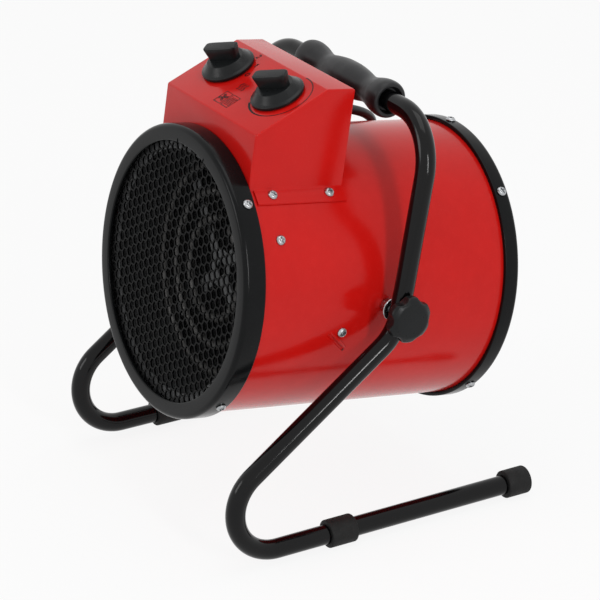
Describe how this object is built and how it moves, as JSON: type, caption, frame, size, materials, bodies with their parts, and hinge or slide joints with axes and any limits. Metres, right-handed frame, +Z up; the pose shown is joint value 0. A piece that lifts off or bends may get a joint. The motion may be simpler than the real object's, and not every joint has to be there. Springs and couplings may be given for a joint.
{
  "type": "forced air heater",
  "caption": "Electric forced air heater: a round drum with fan, elements and control box, tilting between the uprights of a bent tube stand that is also its handle.",
  "frame": {"origin": "on the floor under the middle of the heater's box, measured without its cord", "axes": "+Z up, air leaves towards -Y, +X is the side on the right when seen from behind the outlet looking out of it, -X the side the mains cord goes down"},
  "size_m": [0.4229, 0.3222, 0.373],
  "materials": {
    "drum_paint": "gloss red stoved paint",
    "black_paint": "satin black powder coat",
    "black_tube": "gloss black paint",
    "black_plastic": "fine texture",
    "rubber": "matt",
    "zinc": "bright zinc plate",
    "sheet_steel": "bare galvanised sheet",
    "element": "dull oxidised tube",
    "motor": "as cast",
    "insulator": "pressed mica and ceramic"
  },
  "bodies": {
    "stand": {"stand_frame": "black_tube", "handle_grip": "rubber", "foot_collar_right": "rubber", "foot_collar_left": "rubber", "end_cap_right": "rubber", "end_cap_left": "rubber", "power_cord_coil": "rubber", "power_cord_tail": "rubber", "mains_plug": "black_plastic"},
    "heater": {"drum_shell": "drum_paint", "control_box": "drum_paint", "front_ring": "black_paint", "rear_ring": "black_paint", "front_grille": "black_paint", "rear_grille": "black_paint", "heat_duct": "sheet_steel", "element_bracket": "sheet_steel", "motor_bracket": "sheet_steel", "heating_element_inner": "element", "heating_element_middle": "element", "heating_element_outer": "element", "terminal_plate": "insulator", "motor_housing": "motor", "cable_gland": "black_plastic", "strain_relief": "rubber", "power_cord_run": "rubber", "heat_switch_body": "black_plastic", "heat_switch_nut": "zinc", "thermostat_body": "black_plastic", "thermostat_nut": "zinc", "pivot_bolt_right": "zinc", "pivot_spacer_right": "zinc", "pivot_bolt_left": "zinc", "pivot_spacer_left": "zinc", "front_ring_screw_1": "zinc", "front_ring_screw_2": "zinc", "front_ring_screw_3": "zinc", "front_ring_screw_4": "zinc", "rear_ring_screw_1": "zinc", "rear_ring_screw_2": "zinc", "rear_ring_screw_3": "zinc", "rear_ring_screw_4": "zinc", "rear_ring_screw_5": "zinc", "box_screw_1": "zinc", "box_screw_2": "zinc", "box_screw_3": "zinc", "box_screw_4": "zinc", "body_screw_upper_right": "zinc", "body_screw_upper_left": "zinc", "body_screw_lower_right": "zinc", "body_screw_lower_left": "zinc"},
    "fan": {"motor_shaft": "zinc", "fan_impeller": "motor"},
    "heat_switch": {"heat_switch_knob": "black_plastic", "heat_switch_spindle": "zinc"},
    "thermostat": {"thermostat_knob": "black_plastic", "thermostat_spindle": "zinc"},
    "lock_knob_right": {"lock_knob_right": "black_plastic"},
    "lock_knob_left": {"lock_knob_left": "black_plastic"}
  },
  "joints": [
    {"name": "tilt", "type": "hinge", "parent": "stand", "child": "heater", "pos_m": [0, 0.00771, 0.1885], "axis": [1, 0, 0], "range_deg": [-5, 30], "deforming": ["power_cord_run"]},
    {"name": "fan_spin", "type": "hinge", "parent": "heater", "child": "fan", "pos_m": [0, 0.00367, 0.18396], "axis": [0, 0.9883, -0.1523], "continuous": true},
    {"name": "heat_switch_turn", "type": "hinge", "parent": "heater", "child": "heat_switch", "pos_m": [-0.039, -0.04602, 0.34943], "axis": [0, -0.3733, 0.9277], "range_deg": [-30, 90]},
    {"name": "thermostat_turn", "type": "hinge", "parent": "heater", "child": "thermostat", "pos_m": [0.039, -0.04602, 0.34943], "axis": [0, -0.3733, 0.9277], "range_deg": [-78, 192]},
    {"name": "lock_knob_right_turn", "type": "hinge", "parent": "heater", "child": "lock_knob_right", "pos_m": [0.1555, 0.00771, 0.1885], "axis": [1, 0, 0], "range_deg": [0, 360]},
    {"name": "lock_knob_left_turn", "type": "hinge", "parent": "heater", "child": "lock_knob_left", "pos_m": [-0.1555, 0.00771, 0.1885], "axis": [-1, 0, 0], "range_deg": [0, 360]}
  ]
}
